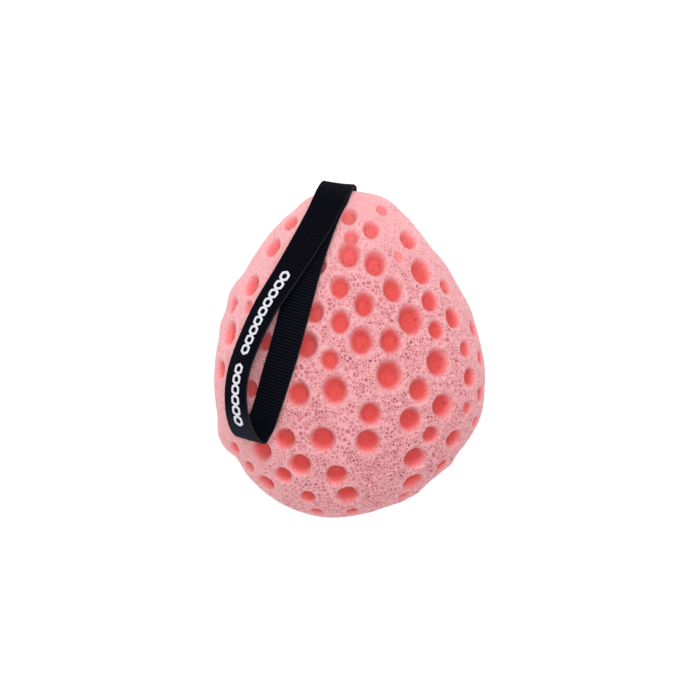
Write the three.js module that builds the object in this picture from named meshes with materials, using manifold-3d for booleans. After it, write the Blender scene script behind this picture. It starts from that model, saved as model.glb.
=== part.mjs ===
// A bath sponge: one egg-shaped block of soft moulded foam, dimpled all over like honeycomb,
// with a hanging loop of black grosgrain ribbon let into a slit at its narrow end.
// Millimetres, +Z up. The sponge lies on its back on z = 0 with its narrow end towards +Y,
// and the ribbon loop lies folded forward over its front.

import * as THREE from 'three';
import { mergeVertices } from 'three/addons/utils/BufferGeometryUtils.js';
import Module from 'manifold-3d';

// The foam block. u runs along Y from -1 at the wide end to 1 at the tip, and the half width and
// the sideways lean of the outline are cubics in u, given as coefficients of 1, u, u^2 and u^3.
const HALF_LENGTH = 67.3;
const MIDDLE_Y = -1.6;
const MIDDLE_Z = 30; // level of the outline; the block's lowest 2 mm are pressed flat by its weight
const HALF_WIDTH = [54.9, -10.8, -4.2, 4.6];
const LEAN = [-0.3, -0.8, -3.4, 3.4];
const THICKNESS_TO_WIDTH = 0.575;
const BALL_DETAIL = 7;

// The dimples on the front, each as x, y and rim radius
const FRONT_DIMPLES = [
  [13, 57, 2.2], [-0.5, 54.5, 3.2], [-23.5, 51.5, 2.4], [8.5, 48.5, 3.8], [23.5, 44.5, 3.8],
  [-31, 41.5, 3], [-0.5, 38, 4.8], [1, 44.5, 2.4], [19.5, 37.5, 2.2], [10, 34.5, 4.6],
  [28.5, 31.5, 4.5], [-39.5, 26, 3.2], [38.5, 25.5, 3], [-4, 25, 4.2], [17, 24, 4.4],
  [32, 19.5, 4], [5.5, 18, 4.5], [-47.5, 18, 2.4], [-41, 17.5, 2.4], [-14, 15, 3.9],
  [41.5, 13, 4], [24, 12, 5], [-4, 11, 4.2], [50, 8.5, 2.6], [34.5, 8, 3.6],
  [-48.5, 6.5, 3.4], [4.5, 3.5, 5], [16, 3.5, 4.3], [-17.5, 2, 5], [46.5, 0.5, 2.4],
  [53, -3, 3], [-8, -4, 3.9], [35, -5, 4.8], [-52.5, -8, 3.6], [15.5, -10, 5.2],
  [48.5, -11, 3.7], [-40, -15.5, 3.5], [27.5, -16, 4.4], [-6, -16, 5.3], [-20.5, -17.5, 4.7],
  [53, -18, 3], [37, -22.5, 4.8], [47.5, -23.5, 2.2], [8, -25.5, 4.6], [24, -28, 4.7],
  [51, -29, 2.6], [32.5, -34, 3.6], [-26, -35.5, 4.4], [-11, -35.5, 5.1], [42, -36, 4.1],
  [7, -36.5, 4.9], [-47, -40, 2.8], [-35.5, -40.5, 4.6], [26, -43.5, 4.9], [-20, -46, 4.7],
  [37.5, -47, 3], [-41, -47.5, 2.8], [-5.5, -50, 4.5], [-27, -50.5, 3.7], [25.5, -53.5, 4.6],
  [-34, -54, 4], [-1, -58.5, 4.6], [22, -59.5, 2.6], [-17, -59.5, 3.4], [1, -66, 3],
  [-13.5, -66, 3], [-24, 24, 3.8], [-34, 3.5, 4], [-12.5, 34, 3.4],
];

// The dimples on the back keep this distance from each other and from those on the front
const BACK_SPACING = 12.6;
const BACK_TRIES = 1500;
const BACK_RADIUS = 3.4;
const BACK_RADIUS_RANGE = 1.7;

// A dimple's depth is this times its radius squared, so a wide one is a deep cup and a narrow one
// only a dip. Its cutter is a cup with a lid standing above the foam.
const DEPTH_RATE = 0.23;
const CUP_SIDES = 8;
const FLOOR_WIDTH = 0.66;
const FLOOR_DEPTH = 0.86;
const LID_HEIGHT = 1.6;

// The slit for the ribbon, cut into the tip and turned with the ribbon's root
const SLIT = { width: 14.2, height: 3.4, depth: 13, reach: 8, middle: [-3.7, 65.2, 27], turn: 8 };

// The ribbon: a half-inch strip, doubled. Its middle line runs from its printed end in the slit,
// over the tip, down the front, round the open end of the loop and back under itself. Each
// station is x, y, z, then the turn in plan and the tilt of the line across the ribbon, in degrees.
const RIBBON_WIDTH = 12.7;
const RIBBON_THICKNESS = 0.8;
const RIBBON_STEPS = 80;
const RIBBON_STATIONS = [
  [-2.2, 54, 26.4, 8, 0], [-3.1, 60.4, 26.4, 8, 0], [-3.8, 66, 26.5, 7, 0],
  [-4.3, 67.9, 28.4, 0, 0], [-4.6, 68.2, 31.6, -8, 0], [-5.3, 67.3, 35.6, -14, 3],
  [-7.6, 63, 42.5, -26, 9], [-11.4, 54.5, 48.2, -31, 16], [-16, 46.1, 51.8, -31, 23],
  [-24.9, 31.1, 55.2, -27, 32], [-33.6, 17.2, 56.8, -23, 39], [-40.5, 2.6, 58, -19, 43],
  [-44.2, -8, 58.6, -14, 44], [-45.4, -15.5, 58.9, -12, 44], [-45.3, -22, 58.7, -11, 42],
  [-44.4, -27.7, 57.8, -11, 38], [-42.7, -32.5, 56.2, -12, 34], [-41, -35.1, 54.6, -13, 31],
  [-39.7, -36, 53.2, -14, 30], [-38.7, -35.5, 52.2, -14, 29], [-37.3, -32.8, 52.4, -15, 29],
  [-34.3, -26.2, 56, -17, 29], [-31.6, -18, 57.9, -18, 24], [-29.3, -10.2, 58.8, -17, 19],
  [-25.9, 1, 59.2, -16, 17], [-21.6, 17.2, 57.4, -16, 16], [-17.6, 32.7, 53.8, -19, 17],
  [-13.1, 46.9, 49.4, -24, 17], [-9.9, 55.6, 45.7, -28, 14], [-6.9, 62.1, 41.2, -25, 9],
  [-5.2, 66.4, 35.3, -14, 3], [-4.5, 67.2, 31.4, -8, 0], [-4.1, 67.1, 29, 0, 0],
  [-3.6, 66.4, 27.5, 7, 0], [-3.1, 60.4, 27.5, 8, 0], [-2.2, 54, 27.5, 8, 0],
];

const wasm = await Module();
wasm.setup();

const degrees = THREE.MathUtils.degToRad;
const cubic = (c, u) => c[0] + u * (c[1] + u * (c[2] + u * c[3]));
const along = (y) => (y - MIDDLE_Y) / HALF_LENGTH;

// The point of the smooth block that a point of the unit ball stands for, and the way back
function blockPoint(ball) {
  const half = cubic(HALF_WIDTH, ball.y);
  return new THREE.Vector3(
    cubic(LEAN, ball.y) + half * ball.x,
    MIDDLE_Y + HALF_LENGTH * ball.y,
    MIDDLE_Z + THICKNESS_TO_WIDTH * half * ball.z,
  );
}

function ballPoint(point) {
  const u = along(point.y);
  const half = cubic(HALF_WIDTH, u);
  const up = (point.z - MIDDLE_Z) / (THICKNESS_TO_WIDTH * half);
  return new THREE.Vector3((point.x - cubic(LEAN, u)) / half, u, up);
}

// The block's outward direction at a point on it, from how fast the ball's radius grows there
function outward(point) {
  const step = 0.01;
  const growth = ['x', 'y', 'z'].map((axis) => {
    const ahead = point.clone();
    ahead[axis] += step;
    return ballPoint(ahead).lengthSq() - ballPoint(point).lengthSq();
  });
  return new THREE.Vector3(...growth).normalize();
}

function frontPoint(x, y) {
  const ball = ballPoint(new THREE.Vector3(x, y, MIDDLE_Z));
  ball.z = Math.sqrt(Math.max(0, 1 - ball.lengthSq()));
  return blockPoint(ball);
}

// Front dimples where they are listed, then the back ones: tries spread evenly over the ball by an
// additive sequence, kept where they fall behind the outline and far enough from all others
function dimples() {
  const placed = FRONT_DIMPLES.map(([x, y, radius]) => ({ middle: frontPoint(x, y), radius }));
  const fraction = (value) => value - Math.floor(value);
  for (let i = 1; i <= BACK_TRIES; i += 1) {
    const height = 1 - 2 * fraction(i * 0.7548776662466927);
    const turn = 2 * Math.PI * fraction(i * 0.5698402909980532);
    const side = Math.sqrt(1 - height * height);
    const ball = new THREE.Vector3(side * Math.cos(turn), side * Math.sin(turn), height);
    const middle = blockPoint(ball);
    const free = placed.every((other) => other.middle.distanceTo(middle) > BACK_SPACING);
    if (height < 0 && free) {
      placed.push({ middle, radius: BACK_RADIUS + BACK_RADIUS_RANGE * fraction(i * 0.381966) });
    }
  }
  return placed;
}

// Between three.js geometry and manifold-3d solids
function solid(geometry) {
  const bare = geometry.clone();
  bare.deleteAttribute('normal');
  bare.deleteAttribute('uv');
  const merged = mergeVertices(bare, 1e-4);
  return new wasm.Manifold(new wasm.Mesh({
    numProp: 3,
    vertProperties: new Float32Array(merged.attributes.position.array),
    triVerts: new Uint32Array(merged.index.array),
  }));
}

function geometryOf(shape) {
  const mesh = shape.getMesh();
  const geometry = new THREE.BufferGeometry();
  geometry.setAttribute('position', new THREE.BufferAttribute(mesh.vertProperties, 3));
  geometry.setIndex(new THREE.BufferAttribute(mesh.triVerts, 1));
  geometry.computeVertexNormals();
  return geometry;
}

function bend(geometry, place) {
  const position = geometry.attributes.position;
  const point = new THREE.Vector3();
  for (let i = 0; i < position.count; i += 1) {
    position.setXYZ(i, ...place(point.fromBufferAttribute(position, i)));
  }
  return geometry;
}

function cupCutter({ middle, radius }) {
  const depth = DEPTH_RATE * radius * radius;
  const profile = [
    [0, -depth],
    [FLOOR_WIDTH * radius, -FLOOR_DEPTH * depth],
    [radius, 0],
    [radius, LID_HEIGHT],
    [0, LID_HEIGHT],
  ].map(([r, h]) => new THREE.Vector2(r, h));
  const cup = new THREE.LatheGeometry(profile, CUP_SIDES);
  const stand = new THREE.Quaternion().setFromUnitVectors(
    new THREE.Vector3(0, 1, 0),
    outward(middle),
  );
  return solid(cup.applyQuaternion(stand).translate(...middle));
}

function slitCutter() {
  const { width, height, depth, reach, middle, turn } = SLIT;
  const slot = new THREE.BoxGeometry(width, depth + reach, height);
  slot.translate(0, (reach - depth) / 2, 0).rotateZ(degrees(turn)).translate(...middle);
  return solid(slot);
}

function floorCutter() {
  const size = 4 * HALF_LENGTH;
  return solid(new THREE.BoxGeometry(size, size, size).translate(0, 0, -size / 2));
}

function spongeBody() {
  const ball = new THREE.IcosahedronGeometry(1, BALL_DETAIL);
  const block = solid(bend(ball, (point) => blockPoint(point)));
  const cutters = [...dimples().map(cupCutter), slitCutter(), floorCutter()];
  return geometryOf(wasm.Manifold.difference([block, ...cutters]));
}

// A flat strip of unit length, bent along the stations. The line across it may lie askew to its
// middle line where it folds, so it is lengthened there to keep the strip's true width.
function ribbonLoop() {
  const middles = RIBBON_STATIONS.map(([x, y, z]) => new THREE.Vector3(x, y, z));
  const across = RIBBON_STATIONS.map(([, , , turn, tilt]) => new THREE.Vector3(
    Math.cos(degrees(tilt)) * Math.cos(degrees(turn)),
    Math.cos(degrees(tilt)) * Math.sin(degrees(turn)),
    Math.sin(degrees(tilt)),
  ));
  const middleLine = new THREE.CatmullRomCurve3(middles);
  middleLine.arcLengthDivisions = 1000;
  const acrossLine = new THREE.CatmullRomCurve3(across, false, 'catmullrom', 0.5);
  const strip = new THREE.BoxGeometry(RIBBON_WIDTH, RIBBON_THICKNESS, 1, 1, 1, RIBBON_STEPS);
  return bend(strip, ({ x, y, z }) => {
    const t = middleLine.getUtoTmapping(z + 0.5);
    const ahead = middleLine.getTangent(t);
    const side = acrossLine.getPoint(t).normalize();
    const face = ahead.clone().cross(side);
    side.multiplyScalar(x / face.length());
    return middleLine.getPoint(t).add(side).addScaledVector(face.normalize(), y);
  });
}

function piece(name, geometry, color, roughness) {
  const material = new THREE.MeshStandardMaterial({ color, roughness, metalness: 0 });
  const mesh = new THREE.Mesh(geometry, material);
  mesh.name = name;
  return mesh;
}

const sponge = new THREE.Group();
sponge.add(piece('sponge_body', spongeBody(), '#f6b4b4', 0.95));
sponge.add(piece('ribbon_loop', ribbonLoop(), '#0b0b14', 0.55));

export default sponge;
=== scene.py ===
"""A foam bath sponge with round holes moulded into it, and a printed grosgrain ribbon loop.

The sponge lies on its back, tip towards +Y. The foam is one block made by a rule, and the ribbon
is one strip that leaves a slit in the tip, lies down the front and comes back under itself.
"""
import math

import bpy
import numpy as np
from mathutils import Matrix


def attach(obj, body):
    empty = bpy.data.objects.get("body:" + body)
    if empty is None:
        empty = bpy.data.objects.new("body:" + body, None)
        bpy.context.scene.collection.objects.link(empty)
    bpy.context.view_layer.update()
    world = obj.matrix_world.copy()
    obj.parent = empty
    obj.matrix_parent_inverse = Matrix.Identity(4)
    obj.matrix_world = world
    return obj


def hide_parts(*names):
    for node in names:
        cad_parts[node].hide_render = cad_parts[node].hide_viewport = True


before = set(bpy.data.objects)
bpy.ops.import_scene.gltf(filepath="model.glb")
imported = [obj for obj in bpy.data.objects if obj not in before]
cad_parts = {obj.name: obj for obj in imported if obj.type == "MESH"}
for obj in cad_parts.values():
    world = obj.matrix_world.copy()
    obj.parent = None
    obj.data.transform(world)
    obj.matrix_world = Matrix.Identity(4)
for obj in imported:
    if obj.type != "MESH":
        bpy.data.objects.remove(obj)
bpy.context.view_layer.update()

MM = 0.001

# The foam block: an egg, flatter from front to back than it is wide. The two cubics give its
# half width and its lean to the left or right, from the wide end at -1 to the tip at 1.
HALF_LENGTH = 67.3
MIDDLE_Y = -1.6
MIDDLE_Z = 30
HALF_WIDTH = (54.9, -10.8, -4.2, 4.6)
LEAN = (-0.3, -0.8, -3.4, 3.4)
THICKNESS_TO_WIDTH = 0.575
QUADS_PER_SIDE = 256

# The holes on the front: x, y and the radius of the rim
FRONT_HOLES = [
    (13, 57, 2.8), (-0.5, 54, 3.7), (-24, 51.5, 3.4), (8.5, 48.5, 3.8), (23.5, 44.5, 4),
    (-31, 41.5, 3.8), (-0.5, 38, 4.8), (0.5, 45, 3.3), (19.5, 37.5, 2.2), (10, 34.5, 4.8),
    (28.5, 31.5, 4.8), (-39.5, 26, 4), (38.5, 25.5, 3), (-4, 25, 4.2), (17, 24, 4.4),
    (32, 19.5, 4), (5.5, 18, 4.5), (-47.5, 18, 3), (-41, 17.5, 2.4), (-14, 15, 3.9),
    (41.5, 13, 4), (24, 12, 5.5), (-4, 11, 4.2), (50, 8.5, 3), (34.5, 8, 3.6),
    (-48.5, 6.5, 4.2), (4.5, 3.5, 5), (16, 3.5, 4.6), (-17.5, 2, 5), (46.5, 0.5, 3.1),
    (53, -3, 3), (-8, -4, 3.9), (35, -5, 5.1), (-52.5, -8, 3.6), (15.5, -10, 5.5),
    (48.5, -11, 3.7), (-40, -15.5, 3.5), (27.5, -16, 4.4), (-6, -16, 5.3), (-20.5, -17.5, 4.7),
    (53, -18, 3), (37, -22.5, 4.8), (47.5, -23.5, 2.7), (8, -25.5, 4.6), (24, -28, 4.7),
    (51, -29, 2.6), (32.5, -34, 3.6), (-26, -35.5, 4.4), (-11, -35.5, 5.1), (42, -36, 4.1),
    (7, -36.5, 4.9), (-47, -40, 2.8), (-35.5, -40.5, 4.6), (26, -43.5, 4.9), (-20, -46, 4.7),
    (37.5, -47, 3), (-41, -47.5, 2.8), (-5.5, -50, 4.5), (-27, -50.5, 3.7), (25.5, -53.5, 4.6),
    (-34, -54, 4), (-1, -58.5, 4.6), (22, -59.5, 2.6), (-17, -59.5, 3.4), (1, -66, 3),
    (-13.5, -66, 3), (-24, 24, 3.8), (-34, 3.5, 3.6), (-12.5, 34, 3.4),
]
# The listed place is that of a hole's floor: on a slope the rim lies further out, by this share of
# the hole's depth. From the wide end to the tip the rims get narrower and much taller.
FLOOR_TO_RIM = 0.28
RIM_SPREAD = 1.15
NARROWING = 0.08
STRETCH = 0.32
STRETCH_FROM_Y = -45
STRETCH_OVER = 75
# In shares of the rim's radius: where a bowl begins and where its floor is flat, and where the
# clearer ring of skin round it begins and is complete. All of them wander, by this share of
# themselves over this many millimetres.
BOWL_FROM = 1.1
BOWL_TO = 0.38
RING_FROM = 1.5
RING_TO = 1.05
RAGGEDNESS = 0.24
RAG_LENGTH = 4.348

# The holes on the back are the tries of an even sequence that keep this far from all others. The
# three long decimals are the sequence's steps.
BACK_SPACING = 12.6
BACK_TRIES = 1500
BACK_STRETCH = 1.1
BACK_RADIUS = 3.4
BACK_RADIUS_RANGE = 1.7
EVEN_HEIGHT = 0.7548776662466927
EVEN_TURN = 0.5698402909980532
EVEN_RADIUS = 0.381966

# The block's low wave, with the level of its noise that leaves the skin where it is, and how soft
# the edge is of the patch that the sponge lies on
WAVE_LENGTH = 23.81
WAVE_MIDDLE = 0.42
FLAT_EDGE = 0.9

# Where the block bulges or falls in at its outline: x, y, how far the bulge reaches, its height
SWELLS = [
    (-50, 24, 12, 2.0), (-53.5, -37, 12, 2.3), (-17, 62, 9, 1.2), (15, 62, 12, 0.9),
    (32, 43, 11, -1.2), (50, 16, 14, 0.6), (53, -27, 14, 0.6), (-53, 11, 8, 1.0),
    (22, -62, 9, 0.7), (-46, -46, 7, -1.0),
    (44, -41, 5.5, -0.9), (34, -52.5, 5.5, -0.7), (41, -46.5, 4.5, 0.6), (27, -58, 5, 0.6),
]

# The slit in the tip that the ribbon is glued into. Its depth and reach are how far it goes in
# behind its middle and how far behind it the cut skin may be. Its lip bends over from just outside
# its walls to just inside them.
SLIT = {"width": 14, "height": 3.0, "depth": 12.5, "reach": 8, "middle": (-3.7, 65.2, 27),
        "turn": 8, "lip_out": 0.35, "lip_in": 0.25}

# The ribbon: x, y, z of its middle line, then the turn in plan and the tilt of the line across it
RIBBON_WIDTH = 12.7
RIBBON_THICKNESS = 0.5
RIB_PITCH = 1.3
RIBBON_STATIONS = [
    (-2.2, 54, 26.4, 8, 0), (-3.1, 60.4, 26.4, 8, 0), (-3.8, 66, 26.5, 7, 0),
    (-4.3, 67.9, 28.4, 0, 0), (-4.6, 68.2, 31.6, -8, 0), (-5.3, 67.3, 35.6, -14, 3),
    (-7.6, 63, 42.5, -26, 9), (-11.4, 54.5, 48.2, -31, 16), (-16, 46.1, 51.8, -31, 23),
    (-24.9, 31.1, 55.2, -27, 32), (-33.6, 17.2, 56.8, -23, 39), (-40.5, 2.6, 58, -19, 43),
    (-44.2, -8, 58.6, -14, 44), (-45.4, -15.5, 58.9, -12, 44), (-45.3, -22, 58.7, -11, 42),
    (-44.4, -27.7, 57.8, -11, 38), (-42.7, -32.5, 56.2, -12, 34), (-41, -35.1, 54.6, -13, 31),
    (-39.7, -36, 53.2, -14, 30), (-38.7, -35.5, 52.2, -14, 29), (-37.3, -32.8, 52.4, -15, 29),
    (-34.3, -26.2, 56, -17, 29), (-31.6, -18, 57.9, -18, 24), (-29.3, -10.2, 58.8, -17, 19),
    (-25.9, 1, 59.2, -16, 17), (-21.6, 17.2, 57.4, -16, 16), (-17.6, 32.7, 53.8, -19, 17),
    (-13.1, 46.9, 49.4, -24, 17), (-9.9, 55.6, 45.7, -28, 14), (-6.9, 62.1, 41.2, -25, 9),
    (-5.2, 66.4, 35.3, -14, 3), (-4.5, 67.2, 31.4, -8, 0), (-4.1, 67.1, 29, 0, 0),
    (-3.6, 66.4, 27.5, 7, 0), (-3.1, 60.4, 27.5, 8, 0), (-2.2, 54, 27.5, 8, 0),
]
ROUTE_STEPS = 24
# The stations at the crest over the tip, at the print's start and along the bend's slate film
CREST_STATION = 4
CREST_CURL = 0.14
PRINT_FROM_STATION = 9
MARK_PITCH = 4.15
# The stations at the crest over the tip, at the print's start and along the bend's painted slate
# sheen
BEND_SHEEN_STATIONS = (13.5, 16, 18, 19)

# The studio, in metres: the view is this wide at this distance
VIEW_WIDTH = 0.288
VIEW_DISTANCE = 0.9
CAMERA_HEIGHT = 0.93
SENSOR = 36
FLOOR_RADIUS = 3.0
FLOOR_SIDES = 96


def linear(code):
    """A linear colour from an sRGB hex code."""
    parts = [int(code[i:i + 2], 16) / 255 for i in (1, 3, 5)]
    return tuple(p / 12.92 if p <= 0.04045 else ((p + 0.055) / 1.055) ** 2.4 for p in parts) + (1,)


def add(tree, kind, links=(), **settings):
    """Adds a node with its settings. Its links go by name or by place, each one a value, a socket,
    or a node for that node's first output in use."""
    node = tree.nodes.new(kind)
    for name, value in settings.items():
        setattr(node, name, value)
    for key, source in links.items() if isinstance(links, dict) else enumerate(links):
        if isinstance(source, bpy.types.Node):
            source = next(s for s in source.outputs if s.enabled)
        if isinstance(source, bpy.types.NodeSocket):
            tree.links.new(source, node.inputs[key])
        else:
            node.inputs[key].default_value = source
    return node


def grown(name, start, tree, values):
    """The plain mesh that a node tree makes of a start mesh, its inputs set by their names."""
    source = bpy.data.objects.new(name + ".start", start)
    bpy.context.scene.collection.objects.link(source)
    modifier = source.modifiers.new("Grown", "NODES")
    modifier.node_group = tree
    for item in tree.interface.items_tree:
        if item.item_type == "SOCKET" and item.in_out == "INPUT" and item.name in values:
            modifier[item.identifier] = values[item.name]
    graph = bpy.context.evaluated_depsgraph_get()
    mesh = bpy.data.meshes.new_from_object(source.evaluated_get(graph), depsgraph=graph)
    bpy.data.objects.remove(source)
    piece = bpy.data.objects.new(name, mesh)
    bpy.context.scene.collection.objects.link(piece)
    return piece


def tree_named(name, inputs):
    """A Geometry Nodes tree with a geometry in and out and the given named inputs."""
    tree = bpy.data.node_groups.new(name, "GeometryNodeTree")
    tree.interface.new_socket("Geometry", in_out="INPUT", socket_type="NodeSocketGeometry")
    tree.interface.new_socket("Geometry", in_out="OUTPUT", socket_type="NodeSocketGeometry")
    for label, kind in inputs:
        tree.interface.new_socket(label, in_out="INPUT", socket_type="NodeSocket" + kind)
    start = tree.nodes.new("NodeGroupInput")
    end = tree.nodes.new("NodeGroupOutput")
    return tree, start, end


# ---------------------------------------------------------------- the foam's rule, in plain Python


def cubic(c, u):
    return c[0] + u * (c[1] + u * (c[2] + u * c[3]))


def block_point(ball):
    """The point of the block, in mm, that a point of the unit ball stands for."""
    half = cubic(HALF_WIDTH, ball[1])
    return np.array([
        cubic(LEAN, ball[1]) + half * ball[0],
        MIDDLE_Y + HALF_LENGTH * ball[1],
        MIDDLE_Z + THICKNESS_TO_WIDTH * half * ball[2],
    ])


def front_point(x, y):
    u = (y - MIDDLE_Y) / HALF_LENGTH
    across = (x - cubic(LEAN, u)) / cubic(HALF_WIDTH, u)
    return block_point((across, u, math.sqrt(max(0, 1 - u * u - across * across))))


def outward(point):
    """The block's outward direction, from how fast the ball's radius grows at a point on it."""
    def size(x, y, z):
        u = (y - MIDDLE_Y) / HALF_LENGTH
        half = cubic(HALF_WIDTH, u)
        up = (z - MIDDLE_Z) / (THICKNESS_TO_WIDTH * half)
        return ((x - cubic(LEAN, u)) / half) ** 2 + u * u + up * up
    step = 0.01 * np.eye(3)
    growth = np.array([size(*(point + step[k])) - size(*point) for k in range(3)])
    return growth / np.linalg.norm(growth)


def hole_depth(radius):
    """Small dents are shallow, and a wide hole is nearly as deep as its radius."""
    return min(0.95 * radius, 0.2 * radius * radius)


def holes():
    """Every hole's middle on the block, its rim's radius and its height over its width."""
    placed = []
    for x, y, radius in FRONT_HOLES:
        lean_out = FLOOR_TO_RIM * hole_depth(radius) * outward(front_point(x, y))
        up = min(max((y - STRETCH_FROM_Y) / STRETCH_OVER, 0), 1)
        placed.append((front_point(x + lean_out[0], y + lean_out[1]),
                       RIM_SPREAD * (1 - NARROWING * up) * radius, 1 + STRETCH * up))
    for i in range(1, BACK_TRIES + 1):
        height = 1 - 2 * (i * EVEN_HEIGHT % 1)
        turn = 2 * math.pi * (i * EVEN_TURN % 1)
        side = math.sqrt(1 - height * height)
        middle = block_point((side * math.cos(turn), side * math.sin(turn), height))
        near = min(np.linalg.norm(other - middle) for other, _, _ in placed)
        if height < 0 and near > BACK_SPACING:
            radius = BACK_RADIUS + BACK_RADIUS_RANGE * (i * EVEN_RADIUS % 1)
            placed.append((middle, radius, BACK_STRETCH))
    return placed


def moulding_points(placed):
    """A mesh of loose points, the holes and then the swells, with each one's reach and depth."""
    rows = [(middle, radius, hole_depth(radius), tall) for middle, radius, tall in placed]
    rows += [((x, y, MIDDLE_Z), reach, -height, 1) for x, y, reach, height in SWELLS]
    mesh = bpy.data.meshes.new("moulding points")
    mesh.from_pydata([tuple(np.array(row[0]) * MM) for row in rows], [], [])
    for name, column, unit in (("reach", 1, MM), ("full_depth", 2, MM), ("tall", 3, 1)):
        layer = mesh.attributes.new(name, "FLOAT", "POINT")
        layer.data.foreach_set("value", [row[column] * unit for row in rows])
    return mesh


# ------------------------------------------------------------------------------- the foam's tree


def foam_tree(material):
    """Grows the block from the hole points: a cube's grid bent to an egg and pressed in."""
    tree, start, end = tree_named("moulded foam block", [
        ("Quads Per Side", "Int"), ("Half Length", "Float"), ("Middle Y", "Float"),
        ("Middle Z", "Float"), ("Thickness To Width", "Float"), ("Holes", "Int"),
        ("Swells", "Int"), ("Waviness", "Float"), ("Cell Spacing", "Float"),
        ("Cell Depth", "Float"),
    ])
    given = start.outputs
    place = add(tree, "GeometryNodeInputPosition")
    normal = add(tree, "GeometryNodeInputNormal")
    # what the block's points, and the moulding points, carry with them
    kept = {name: add(tree, "GeometryNodeInputNamedAttribute", {"Name": name}, data_type=kind)
            for name, kind in (
                ("ball", "FLOAT_VECTOR"), ("skin", "FLOAT_VECTOR"), ("outward", "FLOAT_VECTOR"),
                ("lift", "FLOAT"), ("ragged", "FLOAT"), ("press", "FLOAT"), ("hole", "FLOAT"),
                ("ring", "FLOAT"), ("reach", "FLOAT"), ("full_depth", "FLOAT"),
                ("tall", "FLOAT"))}

    # a cube of even squares, bent so that its grid stays even on a ball
    sides = add(tree, "ShaderNodeMath", [given["Quads Per Side"], 1.0], operation="ADD")
    cube = add(tree, "GeometryNodeMeshCube", {
        "Size": (2, 2, 2), "Vertices X": sides, "Vertices Y": sides, "Vertices Z": sides})
    apart = add(tree, "ShaderNodeSeparateXYZ", [place])
    angles = [add(tree, "ShaderNodeMath", [apart.outputs[i], math.pi / 4], operation="MULTIPLY")
              for i in range(3)]
    bent = add(tree, "ShaderNodeCombineXYZ", [
        add(tree, "ShaderNodeMath", [angle], operation="TANGENT") for angle in angles])
    ball = add(tree, "GeometryNodeStoreNamedAttribute", {
        "Geometry": cube.outputs["Mesh"], "Name": "ball",
        "Value": add(tree, "ShaderNodeVectorMath", [bent], operation="NORMALIZE")},
        data_type="FLOAT_VECTOR")

    # the ball drawn out to the egg, by the same rule as in plain Python
    direction = add(tree, "ShaderNodeSeparateXYZ", [kept["ball"]])
    u = direction.outputs[1]

    def cubic_along(c):
        """A cubic of the place along the block, in metres."""
        value = c[3] * MM
        for lower in c[2::-1]:
            value = add(tree, "ShaderNodeMath", [value, u, lower * MM], operation="MULTIPLY_ADD")
        return value

    half = cubic_along(HALF_WIDTH)
    half_thick = add(tree, "ShaderNodeMath", [half, given["Thickness To Width"]],
                     operation="MULTIPLY")
    egg = add(tree, "ShaderNodeCombineXYZ", [
        add(tree, "ShaderNodeMath", [size, share, middle], operation="MULTIPLY_ADD")
        for size, share, middle in (
            (half, direction.outputs[0], cubic_along(LEAN)),
            (given["Half Length"], u, given["Middle Y"]),
            (half_thick, direction.outputs[2], given["Middle Z"]))])
    shaped = add(tree, "GeometryNodeSetPosition", {"Geometry": ball, "Position": egg})

    # a soft block is never quite true: a low wave all over, and a few bulges and hollows
    wave = add(tree, "ShaderNodeTexNoise", {
        "Vector": place, "Scale": 1 / (WAVE_LENGTH * MM), "Detail": 3, "Roughness": 0.6})
    lift = add(tree, "ShaderNodeMath", [
        add(tree, "ShaderNodeMath", [WAVE_MIDDLE, wave], operation="SUBTRACT"),
        given["Waviness"]], operation="MULTIPLY")
    lifted = add(tree, "GeometryNodeStoreNamedAttribute", {
        "Geometry": shaped, "Name": "lift", "Value": lift})
    swell_in = add(tree, "GeometryNodeRepeatInput", {"Iterations": given["Swells"]})
    swell_out = add(tree, "GeometryNodeRepeatOutput")
    swell_in.pair_with_output(swell_out)
    tree.links.new(lifted.outputs["Geometry"], swell_in.inputs["Geometry"])
    which = add(tree, "ShaderNodeMath", [given["Holes"], swell_in.outputs["Iteration"]],
                operation="ADD")
    middle, reach, drop = (
        add(tree, "GeometryNodeSampleIndex", {
            "Geometry": given["Geometry"], "Value": value, "Index": which}, data_type=kind)
        for value, kind in ((place, "FLOAT_VECTOR"), (kept["reach"], "FLOAT"),
                            (kept["full_depth"], "FLOAT")))
    away = add(tree, "ShaderNodeVectorMath", [place, middle], operation="DISTANCE")
    dome = add(tree, "ShaderNodeMapRange", {
        "Value": add(tree, "ShaderNodeMath", [away, reach], operation="DIVIDE"),
        "From Min": 1.0, "From Max": 0.0}, interpolation_type="SMOOTHSTEP")
    drop = add(tree, "ShaderNodeMath", [dome, drop], operation="MULTIPLY")
    domed = add(tree, "GeometryNodeStoreNamedAttribute", {
        "Geometry": swell_in.outputs["Geometry"], "Name": "lift",
        "Value": add(tree, "ShaderNodeMath", [kept["lift"], drop], operation="SUBTRACT")})
    tree.links.new(domed.outputs["Geometry"], swell_out.inputs["Geometry"])
    waved = add(tree, "GeometryNodeSetPosition", {
        "Geometry": swell_out.outputs["Geometry"],
        "Offset": add(tree, "ShaderNodeVectorMath", {0: normal, "Scale": kept["lift"]},
                      operation="SCALE")})

    # the skin as it would be with no holes, and rims that aren't quite round
    ragged = add(tree, "ShaderNodeMath", [
        add(tree, "ShaderNodeTexNoise", {
            "Vector": place, "Scale": 1 / (RAG_LENGTH * MM), "Detail": 2}),
        RAGGEDNESS, 1 - RAGGEDNESS / 2], operation="MULTIPLY_ADD")
    ready = waved
    for name, value, kind in (
            ("skin", place, "FLOAT_VECTOR"), ("outward", normal, "FLOAT_VECTOR"),
            ("ragged", ragged, "FLOAT"), ("press", 0.0, "FLOAT"), ("hole", 0.0, "FLOAT"),
            ("ring", 0.0, "FLOAT")):
        ready = add(tree, "GeometryNodeStoreNamedAttribute", {
            "Geometry": ready, "Name": name, "Value": value}, data_type=kind)

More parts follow.
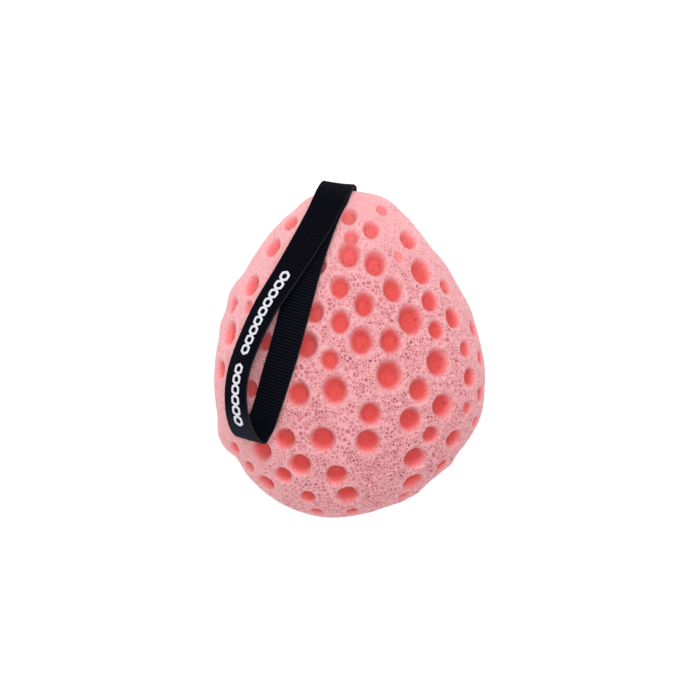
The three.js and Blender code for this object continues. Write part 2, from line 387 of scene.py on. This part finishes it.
    # one turn of the loop for each hole: press its bowl in, and keep the deeper of two that meet
    loop_in = add(tree, "GeometryNodeRepeatInput", {"Iterations": given["Holes"]})
    loop_out = add(tree, "GeometryNodeRepeatOutput")
    loop_in.pair_with_output(loop_out)
    tree.links.new(ready.outputs["Geometry"], loop_in.inputs["Geometry"])
    middle, rim, full, tall = (
        add(tree, "GeometryNodeSampleIndex", {
            "Geometry": given["Geometry"], "Value": value, "Index": loop_in.outputs["Iteration"]},
            data_type=kind)
        for value, kind in ((place, "FLOAT_VECTOR"), (kept["reach"], "FLOAT"),
                            (kept["full_depth"], "FLOAT"), (kept["tall"], "FLOAT")))
    offset = add(tree, "ShaderNodeVectorMath", [kept["skin"], middle], operation="SUBTRACT")
    squeeze = add(tree, "ShaderNodeCombineXYZ", [
        1.0, add(tree, "ShaderNodeMath", [1.0, tall], operation="DIVIDE"), 1.0])
    away = add(tree, "ShaderNodeVectorMath", [
        add(tree, "ShaderNodeVectorMath", [offset, squeeze], operation="MULTIPLY")],
        operation="LENGTH")
    share = add(tree, "ShaderNodeMath", [
        add(tree, "ShaderNodeMath", [away, rim], operation="DIVIDE"), kept["ragged"]],
        operation="MULTIPLY")
    bowl = add(tree, "ShaderNodeMapRange", {
        "Value": share, "From Min": BOWL_FROM, "From Max": BOWL_TO},
        interpolation_type="SMOOTHERSTEP")
    ring = add(tree, "ShaderNodeMapRange", {
        "Value": share, "From Min": RING_FROM, "From Max": RING_TO},
        interpolation_type="SMOOTHSTEP")
    pressed = loop_in.outputs["Geometry"]
    for name, value in (
            ("press", add(tree, "ShaderNodeMath", [bowl, full], operation="MULTIPLY")),
            ("hole", bowl), ("ring", ring)):
        pressed = add(tree, "GeometryNodeStoreNamedAttribute", {
            "Geometry": pressed, "Name": name,
            "Value": add(tree, "ShaderNodeMath", [kept[name], value], operation="MAXIMUM")})
    tree.links.new(pressed.outputs["Geometry"], loop_out.inputs["Geometry"])

    # open cells at the skin: dips between thin struts, some of them closed over, and shallower in
    # the holes
    spacing = {"Vector": kept["skin"], "Scale": add(
        tree, "ShaderNodeMath", [1.0, given["Cell Spacing"]], operation="DIVIDE")}
    edges = add(tree, "ShaderNodeTexVoronoi", spacing, feature="DISTANCE_TO_EDGE")
    cell = add(tree, "ShaderNodeTexVoronoi", spacing)
    closed = add(tree, "ShaderNodeSeparateXYZ", [cell.outputs["Color"]])
    dip = add(tree, "ShaderNodeMapRange", {
        "Value": edges, "From Min": 0.06, "From Max": 0.3}, interpolation_type="SMOOTHSTEP")
    opened = add(tree, "ShaderNodeMapRange", {
        "Value": closed.outputs[0], "From Min": 0.2, "From Max": 0.8})
    shallow = add(tree, "ShaderNodeMath", [kept["hole"], -0.75, 1.0], operation="MULTIPLY_ADD")
    depth = dip
    for factor in (opened, shallow, given["Cell Depth"]):
        depth = add(tree, "ShaderNodeMath", [depth, factor], operation="MULTIPLY")
    depth = add(tree, "ShaderNodeMath", [kept["press"], depth], operation="ADD")
    inwards = add(tree, "ShaderNodeMath", [depth, -1], operation="MULTIPLY")
    sunk = add(tree, "GeometryNodeSetPosition", {
        "Geometry": loop_out.outputs["Geometry"], "Position": kept["skin"],
        "Offset": add(tree, "ShaderNodeVectorMath", {0: kept["outward"], "Scale": inwards},
                      operation="SCALE")})

    # the ribbon's slit: a flat pocket cut straight back into the tip
    turn = math.radians(SLIT["turn"])
    local = add(tree, "ShaderNodeVectorMath", [place, [v * MM for v in SLIT["middle"]]],
                operation="SUBTRACT")
    aside, forward = (
        add(tree, "ShaderNodeVectorMath", [local, line], operation="DOT_PRODUCT")
        for line in ((math.cos(turn), math.sin(turn), 0), (-math.sin(turn), math.cos(turn), 0)))
    height = add(tree, "ShaderNodeSeparateXYZ", [local]).outputs[2]
    past = [add(tree, "ShaderNodeMath", [
        add(tree, "ShaderNodeMath", [value], operation="ABSOLUTE"), SLIT[size] / 2 * MM],
        operation="SUBTRACT") for value, size in ((aside, "width"), (height, "height"))]
    outside = add(tree, "ShaderNodeMath", past, operation="MAXIMUM")
    open_here = add(tree, "ShaderNodeMapRange", {
        "Value": outside, "From Min": SLIT["lip_out"] * MM, "From Max": -SLIT["lip_in"] * MM},
        interpolation_type="SMOOTHSTEP")
    near_tip = add(tree, "ShaderNodeMath", [forward, -SLIT["reach"] * MM],
                   operation="GREATER_THAN")
    cut = add(tree, "ShaderNodeMath", [
        add(tree, "ShaderNodeMath", [open_here, near_tip], operation="MULTIPLY"),
        add(tree, "ShaderNodeMath", [forward, SLIT["depth"] * MM], operation="ADD")],
        operation="MULTIPLY")
    back = [math.sin(turn), -math.cos(turn), 0]
    slit = add(tree, "GeometryNodeSetPosition", {
        "Geometry": sunk,
        "Offset": add(tree, "ShaderNodeVectorMath", {0: back, "Scale": cut}, operation="SCALE")})

    # the lowest skin is pressed flat by what the sponge lies on
    low = add(tree, "ShaderNodeSeparateXYZ", [place])
    flat = add(tree, "ShaderNodeMath", [low.outputs[2], 0.0, FLAT_EDGE * MM],
               operation="SMOOTH_MAX")
    rested = add(tree, "ShaderNodeCombineXYZ", [
        low.outputs[0], low.outputs[1],
        add(tree, "ShaderNodeMath", [flat, 0.0], operation="MAXIMUM")])
    laid = add(tree, "GeometryNodeSetPosition", {"Geometry": slit, "Position": rested})
    whole = add(tree, "GeometryNodeRealizeInstances", [laid])
    finish = add(tree, "GeometryNodeSetMaterial", {"Geometry": whole, "Material": material})
    tree.links.new(finish.outputs[0], end.inputs[0])
    return tree


def unwrap_block(mesh):
    """A UV map with one chart for each side of the block, the front and back the largest."""
    count = len(mesh.vertices)
    ball = np.zeros(count * 3, np.float32)
    mesh.attributes["ball"].data.foreach_get("vector", ball)
    ball = ball.reshape(-1, 3)
    corners = np.zeros(len(mesh.loops), np.int32)
    mesh.loops.foreach_get("vertex_index", corners)
    quads = ball[corners].reshape(-1, 4, 3)
    middle = quads.mean(axis=1)
    axis = np.abs(middle).argmax(axis=1)
    sign = np.sign(middle[np.arange(len(middle)), axis])
    others = np.array([(1, 2), (0, 2), (0, 1)])[axis]
    rows = np.arange(len(quads))
    pole = quads[rows, :, axis]
    grid = [np.arctan(quads[rows, :, others[:, k]] / pole * sign[:, None]) / (math.pi / 2) + 0.5
            for k in (0, 1)]
    # chart corner and size for each side: x-, x+, y-, y+, z-, z+
    charts = np.array([
        (0.00, 0.60, 0.25, 0.40), (0.25, 0.60, 0.25, 0.40), (0.50, 0.60, 0.25, 0.40),
        (0.75, 0.60, 0.25, 0.40), (0.00, 0.00, 0.50, 0.60), (0.50, 0.00, 0.50, 0.60),
    ])[axis * 2 + (sign > 0)]
    upright = (axis == 0)[:, None]
    across = np.where(upright, grid[1], grid[0])
    up = np.where(upright, grid[0], grid[1])
    gap = 0.004
    u = charts[:, :1] + gap + across * (charts[:, 2:3] - 2 * gap)
    v = charts[:, 1:2] + gap + up * (charts[:, 3:4] - 2 * gap)
    layer = mesh.uv_layers.new(name="OFBake")
    layer.data.foreach_set("uv", np.stack([u, v], axis=-1).astype(np.float32).ravel())


# ------------------------------------------------------------------------------------ the ribbon


def segment(p, dt, weight):
    """A point of a cubic through p[1] and p[2], with end slopes from the knot spacings dt."""
    leave, reach = (
        ((b - a) / before - (c - a) / (before + after) + (c - b) / after) * dt[1]
        for a, b, c, before, after in (
            (p[0], p[1], p[2], dt[0], dt[1]), (p[1], p[2], p[3], dt[1], dt[2])))
    c2 = 3 * (p[2] - p[1]) - 2 * leave - reach
    c3 = 2 * (p[1] - p[2]) + leave + reach
    return p[1] + weight * (leave + weight * (c2 + weight * c3))


def ribbon_route():
    """The ribbon's middle line in mm, its outward face and the line across it at each point, and
    how far along each point and each station is."""
    table = np.array(RIBBON_STATIONS, float)
    turn, tilt = np.radians(table[:, 3]), np.radians(table[:, 4])
    lines = np.stack([np.cos(tilt) * np.cos(turn), np.cos(tilt) * np.sin(turn), np.sin(tilt)], 1)
    middles, across = (np.vstack([2 * rows[0] - rows[1], rows, 2 * rows[-1] - rows[-2]])
                       for rows in (table[:, :3], lines))
    points, sides = [], []
    for i in range(len(table) - 1):
        knots = middles[i:i + 4]
        spacing = [math.sqrt(np.linalg.norm(knots[k + 1] - knots[k])) for k in range(3)]
        for step in range(ROUTE_STEPS):
            points.append(segment(knots, spacing, step / ROUTE_STEPS))
            sides.append(segment(across[i:i + 4], [1, 1, 1], step / ROUTE_STEPS))
    points.append(middles[-2])
    sides.append(across[-2])
    points, sides = np.array(points), np.array(sides)
    ahead = np.gradient(points, axis=0)
    ahead /= np.linalg.norm(ahead, axis=1)[:, None]
    sides /= np.linalg.norm(sides, axis=1)[:, None]
    face = np.cross(ahead, sides)
    skew = np.linalg.norm(face, axis=1)[:, None]
    gone = np.cumsum(np.linalg.norm(np.diff(points, axis=0), axis=1))
    run = np.concatenate([[0], gone])
    return points, face / skew, sides / skew, run, run[::ROUTE_STEPS]


def route_mesh(points, face, sides):
    """The ribbon's middle line as edges, with its outward face and the line across it."""
    mesh = bpy.data.meshes.new("ribbon route")
    steps = [(i, i + 1) for i in range(len(points) - 1)]
    mesh.from_pydata([tuple(p * MM) for p in points], steps, [])
    for name, rows in (("face_out", face), ("across", sides)):
        layer = mesh.attributes.new(name, "FLOAT_VECTOR", "POINT")
        layer.data.foreach_set("vector", rows.astype(np.float32).ravel())
    return mesh


def ribbon_tree(weave, ink):
    """Makes the ribbon flat, as it is woven and printed, then lays every point along its route."""
    tree, start, end = tree_named("ribbed ribbon", [
        ("Length", "Float"), ("Width", "Float"), ("Thickness", "Float"), ("Rib Pitch", "Float"),
        ("Rib Height", "Float"), ("Print From", "Float"), ("Mark Pitch", "Float"),
        ("Marks", "Int"), ("Gap At", "Int"), ("Mark Radius", "Float"), ("Stroke", "Float"),
        ("Ink Thickness", "Float"), ("Crest At", "Float"), ("Crest Reach", "Float"),
    ])
    given = start.outputs
    place = add(tree, "GeometryNodeInputPosition")
    flat = add(tree, "ShaderNodeSeparateXYZ", [place])

    # the strip: x runs along it, y across it and z through it, with six rings of points to a rib
    finish_at = add(tree, "ShaderNodeCombineXYZ", [given["Length"]])
    line = add(tree, "GeometryNodeCurvePrimitiveLine", {"Start": (0, 0, 0), "End": finish_at})
    ribs = add(tree, "ShaderNodeMath", [given["Length"], given["Rib Pitch"]], operation="DIVIDE")
    rings = add(tree, "ShaderNodeMath", [
        add(tree, "ShaderNodeMath", [ribs, 6.0], operation="MULTIPLY")], operation="CEIL")
    fine = add(tree, "GeometryNodeResampleCurve", {"Curve": line, "Count": rings})
    slab = add(tree, "GeometryNodeCurvePrimitiveQuadrilateral", {
        "Width": given["Width"], "Height": given["Thickness"]})
    corner = add(tree, "ShaderNodeMath", [given["Thickness"], 0.48], operation="MULTIPLY")
    rounded = add(tree, "GeometryNodeFilletCurve", {"Curve": slab, "Count": 3, "Radius": corner},
                  mode="POLY")
    swept = add(tree, "GeometryNodeCurveToMesh", {
        "Curve": fine, "Profile Curve": rounded, "Fill Caps": True})

    # each rib is a weft cord: round on top, with a narrow furrow on both sides
    phase = add(tree, "ShaderNodeMath", [
        add(tree, "ShaderNodeMath", [flat.outputs[0], given["Rib Pitch"]], operation="DIVIDE"),
        math.pi], operation="MULTIPLY")
    beat = add(tree, "ShaderNodeMath", [
        add(tree, "ShaderNodeMath", [phase], operation="SINE")], operation="ABSOLUTE")
    side = add(tree, "ShaderNodeMath", [
        flat.outputs[2],
        add(tree, "ShaderNodeMath", [given["Thickness"], 2.0], operation="DIVIDE")],
        operation="DIVIDE")
    known = swept
    for name, value in (("rib", beat), ("through", side), ("run", flat.outputs[0]),
                        ("width_at", flat.outputs[1])):
        known = add(tree, "GeometryNodeStoreNamedAttribute", {
            "Geometry": known, "Name": name, "Value": value})
    lift = add(tree, "ShaderNodeMath", [beat], operation="SQRT")
    for factor in (given["Rib Height"], side):
        lift = add(tree, "ShaderNodeMath", [lift, factor], operation="MULTIPLY")
    # where it turns over the tip its corners curl under, so it looks narrower there
    past = add(tree, "ShaderNodeMath", [
        add(tree, "ShaderNodeMath", [flat.outputs[0], given["Crest At"]], operation="SUBTRACT")],
        operation="ABSOLUTE")
    curl = add(tree, "ShaderNodeMapRange", {
        "Value": add(tree, "ShaderNodeMath", [past, given["Crest Reach"]], operation="DIVIDE"),
        "From Min": 1.0, "From Max": 0.0, "To Max": -CREST_CURL})
    inwards = add(tree, "ShaderNodeMath", [curl, flat.outputs[1]], operation="MULTIPLY")
    ribbed = add(tree, "GeometryNodeSetPosition", {
        "Geometry": known, "Offset": add(tree, "ShaderNodeCombineXYZ", {1: inwards, 2: lift})})
    woven = add(tree, "GeometryNodeSetMaterial", {"Geometry": ribbed, "Material": weave})

    # the print: a row of plain six-sided rings, with one place left out
    top = add(tree, "ShaderNodeMath", [given["Thickness"], 0.5, given["Rib Height"]],
              operation="MULTIPLY_ADD")
    first = add(tree, "ShaderNodeCombineXYZ", {0: given["Print From"], 2: top})
    next_one = add(tree, "ShaderNodeCombineXYZ", [given["Mark Pitch"]])
    spots = add(tree, "GeometryNodeMeshLine", {
        "Count": given["Marks"], "Start Location": first, "Offset": next_one})
    index = add(tree, "GeometryNodeInputIndex")
    gap = add(tree, "FunctionNodeCompare", {2: index, 3: given["Gap At"]},
              data_type="INT", operation="EQUAL")
    spaced = add(tree, "GeometryNodeDeleteGeometry", {"Geometry": spots, "Selection": gap})
    six = add(tree, "GeometryNodeCurvePrimitiveCircle", {
        "Resolution": 6, "Radius": given["Mark Radius"]})
    ring = add(tree, "GeometryNodeSubdivideCurve", {"Curve": six, "Cuts": 3})
    stroke = add(tree, "GeometryNodeCurvePrimitiveQuadrilateral", {
        "Width": given["Stroke"], "Height": given["Ink Thickness"]})
    mark = add(tree, "GeometryNodeCurveToMesh", {"Curve": ring, "Profile Curve": stroke})
    marks = add(tree, "GeometryNodeInstanceOnPoints", {"Points": spaced, "Instance": mark})
    printed = add(tree, "GeometryNodeRealizeInstances", [marks])
    inked = add(tree, "GeometryNodeSetMaterial", {"Geometry": printed, "Material": ink})

    # laid along the route
    both = add(tree, "GeometryNodeJoinGeometry", [inked])
    tree.links.new(woven.outputs[0], both.inputs[0])
    route = add(tree, "GeometryNodeMeshToCurve", {"Mesh": given["Geometry"]})
    across, out = (
        add(tree, "GeometryNodeSampleCurve", {
            "Curves": route, "Length": flat.outputs[0],
            "Value": add(tree, "GeometryNodeInputNamedAttribute", {"Name": name},
                         data_type="FLOAT_VECTOR")},
            mode="LENGTH", data_type="FLOAT_VECTOR")
        for name in ("across", "face_out"))
    laid_at = across.outputs["Position"]
    for line, amount in ((across, flat.outputs[1]), (out, flat.outputs[2])):
        step = add(tree, "ShaderNodeVectorMath", {0: line, "Scale": amount}, operation="SCALE")
        laid_at = add(tree, "ShaderNodeVectorMath", [laid_at, step], operation="ADD")
    laid = add(tree, "GeometryNodeSetPosition", {"Geometry": both, "Position": laid_at})
    whole = add(tree, "GeometryNodeRealizeInstances", [laid])
    tree.links.new(whole.outputs[0], end.inputs[0])
    return tree


# ----------------------------------------------------------------------------------- the finishes


def new_material(name):
    material = bpy.data.materials.new(name)
    material.use_nodes = True
    tree = material.node_tree
    return material, tree, tree.nodes["Principled BSDF"]


def foam_material():
    """Open-cell polyurethane foam, moulded: matt and pale at the skin, with painted shade that
    makes it red deep in the holes and greyer at its low edge towards the wide end.
    """
    material, tree, shader = new_material("open-cell polyurethane foam")
    place = add(tree, "ShaderNodeTexCoord").outputs["Object"]
    skin = add(tree, "ShaderNodeAttribute", attribute_name="skin").outputs["Vector"]
    press, hole, ring = (
        add(tree, "ShaderNodeAttribute", attribute_name=name).outputs["Fac"]
        for name in ("press", "hole", "ring"))

    # how far a point is from the middle of the front, and from where the holes' painted shade is
    # deepest red, past the middle
    squeezed = add(tree, "ShaderNodeVectorMath", [
        add(tree, "ShaderNodeVectorMath", [place, (0.008, -0.022, 0.055)],
            operation="SUBTRACT"), (1, 0.72, 1)], operation="MULTIPLY")
    from_front = add(tree, "ShaderNodeVectorMath", [squeezed], operation="LENGTH")
    from_red = add(tree, "ShaderNodeVectorMath", [place, (0.015, -0.025, 0.055)],
                   operation="DISTANCE")
    height = add(tree, "ShaderNodeSeparateXYZ", [place]).outputs[2]
    to_wide_end = add(tree, "ShaderNodeVectorMath", [place, (0.8, -0.6, 0)],
                      operation="DOT_PRODUCT")
    # how deep the hole is that a point is in
    hole_depth_here = add(tree, "ShaderNodeMath", [
        press, add(tree, "ShaderNodeMath", [hole, 0.01], operation="MAXIMUM")],
        operation="DIVIDE")

    # cells a little over 1 mm apart, nudged out of line, and wider ones where the foam blew up
    # more: thin pale struts round darker openings, each opening with two shades of its own
    nudge = add(tree, "ShaderNodeTexNoise", {"Vector": skin, "Scale": 1 / (3 * MM)})
    nudged = add(tree, "ShaderNodeVectorMath", [
        nudge.outputs["Color"], (0.9 * MM, 0.9 * MM, 0.9 * MM), skin],
        operation="MULTIPLY_ADD")
    edges, shades = {}, {}
    for cells, vector, pitch in (("fine", nudged, 1.25 * MM), ("wide", skin, 1.9 * MM)):
        spacing = {"Vector": vector, "Scale": 1 / pitch}
        edges[cells] = add(tree, "ShaderNodeTexVoronoi", spacing, feature="DISTANCE_TO_EDGE")
        cell = add(tree, "ShaderNodeTexVoronoi", spacing)
        shades[cells] = add(tree, "ShaderNodeSeparateColor", [cell.outputs["Color"]]).outputs
    patches = add(tree, "ShaderNodeTexNoise", {"Vector": skin, "Scale": 1 / (14 * MM)})
    blush = add(tree, "ShaderNodeTexNoise", {
        "Vector": place, "Scale": 1 / (25 * MM), "Detail": 2})

    # each row reads a value and turns the range between two ends of it into a share; half a
    # strut's width is given in shares of the cells' pitch
    fine_strut = 0.28 / 1.25 / 2
    wide_strut = 0.4 / 1.9 / 2
    share = {}
    for name, value, low, high, to_low, to_high in (
            ("open front", from_front, 0.028, 0.062, 1.0, 0.04),
            ("clear of rims", ring, 0.1, 1.0, 1.0, 0.55),
            ("fine inside", edges["fine"], 0.3 * fine_strut, 1.6 * fine_strut, 0.0, 1.0),
            ("fine shade", shades["fine"][0], -0.6, 0.7, 0.0, 1.0),
            ("speck shade", shades["fine"][1], 0.82, 0.9, 0.0, 1.0),
            ("wide inside", edges["wide"], 0.3 * wide_strut, 2.2 * wide_strut, 0.0, 1.0),
            ("wide shade", shades["wide"][0], -0.9, 0.7, 0.0, 1.0),
            ("patch", patches, 0.5, 0.6, 0.0, 1.0),
            ("blush", blush, 0.35, 0.65, 0.0, 1.0),
            ("low", height, 0.03, 0.052, 1.0, 0.0),
            ("wide end", to_wide_end, -0.01, 0.03, 0.0, 1.0),
            ("redness", from_red, 0.04, 0.09, 1.0, 0.4),
            ("depth", hole_depth_here, 0.5 * MM, 3.1 * MM, 0.0, 1.0),
            ("wall", hole, 0.0, 0.36, 0.0, 0.74),
            ("floor", hole, 0.2, 0.62, 0.0, 1.0),
            ("core", hole, 0.55, 0.95, 0.0, 0.8),
            ("in hole", hole, 0.3, 0.8, 0.0, 1.0)):
        share[name] = add(tree, "ShaderNodeMapRange", {
            "Value": value, "From Min": low, "From Max": high, "To Min": to_low,
            "To Max": to_high}, interpolation_type="SMOOTHSTEP")
    for name, one, other in (
            ("open", "open front", "clear of rims"),
            ("fine", "fine inside", "fine shade"),
            ("speck", "fine inside", "speck shade"),
            ("wide", "wide inside", "wide shade"),
            # painted edge shade: low on the block and towards the wide end
            ("edge shade", "low", "wide end"), ("edge shade", "edge shade", 0.8),
            ("open fine", "fine", "open"),
            ("open speck", "speck", "open"),
            ("open patch", "patch", "open"),
            # the holes' painted shade: deeper holes, and those nearer the middle, are painted
            # redder
            ("deep", "depth", "redness"),
            ("floor", "floor", "deep"),
            ("core", "core", "deep"),
            ("fine in hole", "fine", 0.2), ("fine in hole", "fine in hole", "in hole"),
            ("speck in hole", "speck", 0.38), ("speck in hole", "speck in hole", "in hole")):
        share[name] = add(tree, "ShaderNodeMath", [share[one], share.get(other, other)],
                          operation="MULTIPLY")

    # the colour in layers, each one laid over another by its share
    colour = {}
    for name, by, under, over in (
            # smooth skin, with painted shade: its low edge towards the wide end is painted cooler
            # and greyer, where light only grazes it
            ("skin", "blush", "#FFBFC2", "#FCB5B8"),
            ("skin", "edge shade", "skin", "#EFB6BC"),
            # open foam: struts and openings, most open in the middle of the front
            ("strut", "open", "skin", "#FDB6BB"),
            ("opening", "open", "#F2ABAF", "#D0727A"),
            ("foam", "fine", "strut", "opening"),
            ("foam", "open speck", "foam", "#B25763"),
            ("wide cell", "wide", "strut", "#D2767F"),
            ("foam", "open patch", "foam", "wide cell"),
            # painted shade: deeper in the holes the colour is painted redder, standing in for less
            # light getting out again, least so at the tip
            ("foam", "wall", "foam", "#FB9294"),
            ("foam", "floor", "foam", "#EF7677"),
            ("foam", "core", "foam", "#E05550"),
            # and the holes' floors are open foam too, with a few darker cells
            ("foam", "fine in hole", "foam", "#C24441"),
            ("foam", "speck in hole", "foam", "#A93A3D")):
        under, over = (colour[end] if end in colour else linear(end) for end in (under, over))
        colour[name] = add(tree, "ShaderNodeMix", {0: share[by], 6: under, 7: over},
                           data_type="RGBA")
    tree.links.new(colour["foam"].outputs[2], shader.inputs["Base Color"])

    rough = add(tree, "ShaderNodeMapRange", {
        "Value": share["fine"], "To Min": 0.86, "To Max": 0.98})
    tree.links.new(rough.outputs[0], shader.inputs["Roughness"])
    shader.inputs["Specular IOR Level"].default_value = 0.2
    shader.inputs["Sheen Weight"].default_value = 0.15
    shader.inputs["Sheen Roughness"].default_value = 0.6
    bump = add(tree, "ShaderNodeBump", {
        "Height": share["open fine"], "Strength": 0.5, "Distance": 0.3 * MM}, invert=True)
    tree.links.new(bump.outputs[0], shader.inputs["Normal"])
    return material


def grosgrain_material(bend):
    """Woven polyester grosgrain, dyed black and dull, with each rib's crown painted a shade
    lighter as a painted highlight.
    """
    material, tree, shader = new_material("black polyester grosgrain")
    rib, through, run, width_at = (
        add(tree, "ShaderNodeAttribute", attribute_name=name).outputs["Fac"]
        for name in ("rib", "through", "run", "width_at"))
    edge = add(tree, "ShaderNodeMath", [width_at], operation="ABSOLUTE")
    half = RIBBON_WIDTH / 2
    share = {}
    for name, value, low, high, to_low, to_high in (
            ("crown", rib, 0.4, 0.95, 0.0, 1.0),
            ("face up", through, -0.1, 0.1, 0.0, 1.0),
            # where the bend's painted sheen begins and ends
            ("sheen begins", run, bend[0], bend[1], 0.0, 1.0),
            ("sheen ends", run, bend[2], bend[3], 1.0, 0.0),
            ("selvedge highlight", edge, (half - 0.35) * MM, (half - 0.1) * MM, 0.0, 1.0)):
        share[name] = add(tree, "ShaderNodeMapRange", {
            "Value": value, "From Min": low, "From Max": high, "To Min": to_low,
            "To Max": to_high}, interpolation_type="SMOOTHSTEP")
    share["bend sheen"] = add(tree, "ShaderNodeMath", [share["sheen begins"], share["sheen ends"]],
                        operation="MULTIPLY")
    colour = {}
    for name, by, under, over in (
            # painted highlight and shade: each rib's crown is painted lighter than its furrows,
            # and the back face's crowns lighter still, as a painted reflection
            ("face", "crown", "#020208", "#0F0E19"),
            ("back", "crown", "#020207", "#14151F"),
            ("ribbon", "face up", "back", "face"),
            # painted sheen: the bend is painted a lighter slate, standing in for light reflected
            # from its turned face
            ("ribbon", "bend sheen", "ribbon", "#23262F"),
            # painted highlight: the looped threads along the selvedge are painted a thin lighter
            # line, standing in for the light they catch
            ("ribbon", "selvedge highlight", "ribbon", "#2A2A2E")):
        under, over = (colour[end] if end in colour else linear(end) for end in (under, over))
        colour[name] = add(tree, "ShaderNodeMix", {0: share[by], 6: under, 7: over},
                           data_type="RGBA")
    tree.links.new(colour["ribbon"].outputs[2], shader.inputs["Base Color"])
    shader.inputs["Roughness"].default_value = 0.7
    shader.inputs["Specular IOR Level"].default_value = 0.03
    # its threads are about 0.2 mm thick, and are drawn coarser so that they show
    threads = add(tree, "ShaderNodeTexNoise", {
        "Vector": add(tree, "ShaderNodeTexCoord").outputs["Object"], "Scale": 1 / (0.4 * MM)})
    bump = add(tree, "ShaderNodeBump", {
        "Height": threads, "Strength": 0.3, "Distance": 0.1 * MM})
    tree.links.new(bump.outputs[0], shader.inputs["Normal"])
    return material


def ink_material():
    """White plastisol transfer print: a flat, slightly soft-edged opaque film."""
    material, tree, shader = new_material("white plastisol print")
    grain = add(tree, "ShaderNodeTexNoise", {
        "Vector": add(tree, "ShaderNodeTexCoord").outputs["Object"], "Scale": 1 / (0.5 * MM)})
    colour = add(tree, "ShaderNodeMix", {
        0: grain, 6: linear("#F4F4F8"), 7: linear("#DCDCE6")}, data_type="RGBA")
    tree.links.new(colour.outputs[2], shader.inputs["Base Color"])
    shader.inputs["Roughness"].default_value = 0.55
    return material


def floor_material():
    """Matt white paper sweep."""
    material, tree, shader = new_material("white paper")
    fibre = add(tree, "ShaderNodeTexNoise", {
        "Vector": add(tree, "ShaderNodeTexCoord").outputs["Object"], "Scale": 1 / (33 * MM)})
    colour = add(tree, "ShaderNodeMix", {
        0: fibre, 6: linear("#DCDCDC"), 7: linear("#DADADA")}, data_type="RGBA")
    tree.links.new(colour.outputs[2], shader.inputs["Base Color"])
    shader.inputs["Roughness"].default_value = 0.9
    shader.inputs["Specular IOR Level"].default_value = 0.1
    shader.inputs["Emission Color"].default_value = (1, 1, 1, 1)
    shader.inputs["Emission Strength"].default_value = 0.55
    return material


# -------------------------------------------------------------------------------------- the studio


def area_light(name, place, size, power):
    """A round soft light that faces the origin."""
    light = bpy.data.lights.new(name, "AREA")
    light.shape = "DISK"
    light.size = size
    light.energy = power
    lamp = bpy.data.objects.new(name, light)
    bpy.context.scene.collection.objects.link(lamp)
    x, y, z = place
    lamp.location = place
    lamp.rotation_euler = (math.atan2(math.hypot(x, y), z), 0, math.atan2(y, x) + math.pi / 2)


def studio():
    """A camera straight above the sponge, a white floor, and soft light from beyond the tip."""
    scene = bpy.context.scene
    camera = bpy.data.objects.new("camera", bpy.data.cameras.new("camera"))
    scene.collection.objects.link(camera)
    camera.location = (0, 0, CAMERA_HEIGHT)
    camera.data.sensor_width = SENSOR
    camera.data.lens = SENSOR * VIEW_DISTANCE / VIEW_WIDTH
    scene.camera = camera
    scene.view_settings.view_transform = "Standard"
    scene.view_settings.look = "None"

    turns = [2 * math.pi * i / FLOOR_SIDES for i in range(FLOOR_SIDES)]
    mesh = bpy.data.meshes.new("floor")
    mesh.from_pydata([(FLOOR_RADIUS * math.cos(turn), FLOOR_RADIUS * math.sin(turn), 0)
                      for turn in turns], [], [tuple(range(FLOOR_SIDES))])
    mesh.materials.append(floor_material())
    floor = bpy.data.objects.new("floor", mesh)
    scene.collection.objects.link(floor)

    world = bpy.data.worlds.new("studio")
    world.use_nodes = True
    world.node_tree.nodes["Background"].inputs["Color"].default_value = (1, 1, 1, 1)
    world.node_tree.nodes["Background"].inputs["Strength"].default_value = 0.5
    scene.world = world
    area_light("key", (-0.15, 0.98, 1.12), size=0.9, power=6.0)
    area_light("overhead", (0.04, 0.02, 1.35), size=0.6, power=5.8)


studio()

placed = holes()
foam = grown("foam_body", moulding_points(placed), foam_tree(foam_material()), {
    "Quads Per Side": QUADS_PER_SIDE, "Half Length": HALF_LENGTH * MM, "Middle Y": MIDDLE_Y * MM,
    "Middle Z": MIDDLE_Z * MM, "Thickness To Width": THICKNESS_TO_WIDTH,
    "Holes": len(placed), "Swells": len(SWELLS),
    "Waviness": 1.1 * MM, "Cell Spacing": 1.9 * MM, "Cell Depth": 0.45 * MM,
})
foam.data.polygons.foreach_set("use_smooth", np.ones(len(foam.data.polygons), bool))
foam.data.update()
unwrap_block(foam.data)
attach(foam, "root")
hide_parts("sponge_body")

points, face, sides, run, station_run = ribbon_route()
bend_sheen_from = [float(np.interp(k, range(len(station_run)), station_run)) * MM
              for k in BEND_SHEEN_STATIONS]
weave = grosgrain_material(bend_sheen_from)
ribbon = grown("ribbon", route_mesh(points, face, sides), ribbon_tree(weave, ink_material()), {
    "Length": float(run[-1]) * MM, "Width": RIBBON_WIDTH * MM,
    "Thickness": RIBBON_THICKNESS * MM, "Rib Pitch": RIB_PITCH * MM, "Rib Height": 0.14 * MM,
    "Print From": float(station_run[PRINT_FROM_STATION] + MARK_PITCH / 2) * MM,
    "Mark Pitch": MARK_PITCH * MM, "Marks": 16, "Gap At": 9, "Mark Radius": 1.9 * MM,
    "Stroke": 1.1 * MM, "Ink Thickness": 0.12 * MM,
    "Crest At": float(station_run[CREST_STATION]) * MM, "Crest Reach": 2.4 * MM,
})
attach(ribbon, "root")
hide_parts("ribbon_loop")
